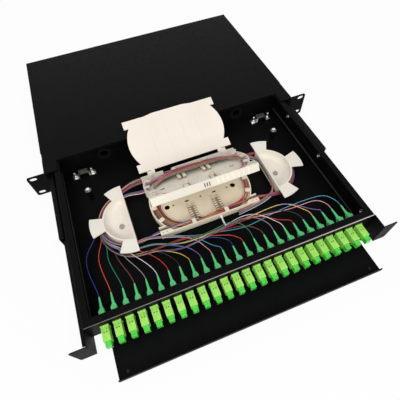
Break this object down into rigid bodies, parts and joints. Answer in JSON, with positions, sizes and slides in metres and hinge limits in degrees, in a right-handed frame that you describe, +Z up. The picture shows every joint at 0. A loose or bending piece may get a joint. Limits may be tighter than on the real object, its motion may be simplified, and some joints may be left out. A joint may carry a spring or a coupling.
{
  "type": "fibre optic patch panel",
  "caption": "Sliding rack-mount fibre optic patch panel with a row of capped adapters, splice trays, spools and fibre pigtails in its drawer.",
  "frame": {"origin": "centre of the rack slot pattern on the front face of the rack ears", "axes": "+X to the right seen from the front, +Y to the rear along the drawer's travel, +Z up"},
  "size_m": [0.4826, 0.61, 0.081],
  "materials": {
    "black_steel": "fine texture black powder coat",
    "black_screw": "black zinc",
    "slide_steel": "black zinc",
    "bright_steel": "nickel plate",
    "post_black": "black oxide",
    "tray_abs": "ivory moulded",
    "lid_abs": "ivory moulded",
    "holder_abs": "ivory moulded",
    "spool_abs": "white moulded",
    "adapter_green": "yellow-green moulded",
    "cap_green": "translucent green",
    "plug_green": "green moulded",
    "boot_green": "green moulded",
    "grommet_rubber": "black rubber",
    "bundle_red": "tight-buffered fibre",
    "bundle_blue": "tight-buffered fibre",
    "bundle_brown": "tight-buffered fibre",
    "fibre_blue": "tight-buffered fibre",
    "fibre_orange": "tight-buffered fibre",
    "fibre_green": "tight-buffered fibre",
    "fibre_brown": "tight-buffered fibre",
    "fibre_grey": "tight-buffered fibre",
    "fibre_white": "tight-buffered fibre",
    "fibre_red": "tight-buffered fibre",
    "fibre_black": "tight-buffered fibre",
    "fibre_yellow": "tight-buffered fibre",
    "fibre_violet": "tight-buffered fibre",
    "fibre_pink": "tight-buffered fibre",
    "fibre_aqua": "tight-buffered fibre"
  },
  "bodies": {
    "housing": {"housing_base": "black_steel", "top_cover": "black_steel", "rack_ear_left": "black_steel", "rack_ear_right": "black_steel", "ear_screws": "black_screw", "cover_screws": "black_screw", "slide_fixed_left": "slide_steel", "slide_fixed_right": "slide_steel"},
    "slide_left": {"slide_middle_left": "slide_steel"},
    "slide_right": {"slide_middle_right": "slide_steel"},
    "drawer": {"slide_inner_left": "slide_steel", "slide_inner_right": "slide_steel", "drawer_pan": "black_steel", "drawer_side_left": "black_steel", "drawer_side_right": "black_steel", "adapter_panel": "black_steel", "front_tray": "black_steel", "panel_screws": "black_screw", "tray_rivets": "bright_steel", "slide_screws": "bright_steel", "adapters": "adapter_green", "dust_caps": "cap_green", "connector_plugs": "plug_green", "connector_boots": "boot_green", "spool_left": "spool_abs", "spool_right": "spool_abs", "spool_screws": "bright_steel", "cable_posts": "post_black", "post_washers": "bright_steel", "post_screws": "bright_steel", "cable_clamps": "bright_steel", "clamp_studs": "bright_steel", "clamp_nuts": "bright_steel", "entry_grommets": "grommet_rubber", "splice_tray_lower": "tray_abs", "splice_holders_lower": "holder_abs", "tray_hinge_pins": "bright_steel", "pigtail_blue": "fibre_blue", "pigtail_orange": "fibre_orange", "pigtail_green": "fibre_green", "pigtail_brown": "fibre_brown", "pigtail_grey": "fibre_grey", "pigtail_white": "fibre_white", "pigtail_red": "fibre_red", "pigtail_black": "fibre_black", "pigtail_yellow": "fibre_yellow", "pigtail_violet": "fibre_violet", "pigtail_pink": "fibre_pink", "pigtail_aqua": "fibre_aqua", "fibre_bundle_rear": "bundle_brown", "fibre_loop_left": "bundle_blue", "fibre_loop_right": "bundle_red", "fibre_coil_lower": "bundle_red"},
    "upper_tray": {"splice_tray_upper": "tray_abs", "splice_holders_upper": "holder_abs", "lid_hinge_pins": "bright_steel", "fibre_tail_upper": "bundle_brown", "fibre_coil_upper": "bundle_red"},
    "lid": {"tray_lid": "lid_abs"}
  },
  "joints": [
    {"name": "drawer_slide", "type": "slide", "parent": "housing", "child": "drawer", "axis": [0, 1, 0], "range_m": [0, 0.018]},
    {"name": "left_slide_middle", "type": "slide", "parent": "housing", "child": "slide_left", "axis": [0, 1, 0], "range_m": [0, 0.009]},
    {"name": "right_slide_middle", "type": "slide", "parent": "housing", "child": "slide_right", "axis": [0, 1, 0], "range_m": [0, 0.009]},
    {"name": "tray_hinge", "type": "hinge", "parent": "drawer", "child": "upper_tray", "pos_m": [0, -0.053, -0.002], "axis": [1, 0, 0], "range_deg": [0, 33]},
    {"name": "lid_hinge", "type": "hinge", "parent": "upper_tray", "child": "lid", "pos_m": [0, -0.04846, 0.0059], "axis": [1, 0, 0], "range_deg": [0, 127.6]}
  ],
  "couplings": [
    {"joint": "left_slide_middle", "follows": "drawer_slide", "ratio": 0.5},
    {"joint": "right_slide_middle", "follows": "drawer_slide", "ratio": 0.5}
  ]
}
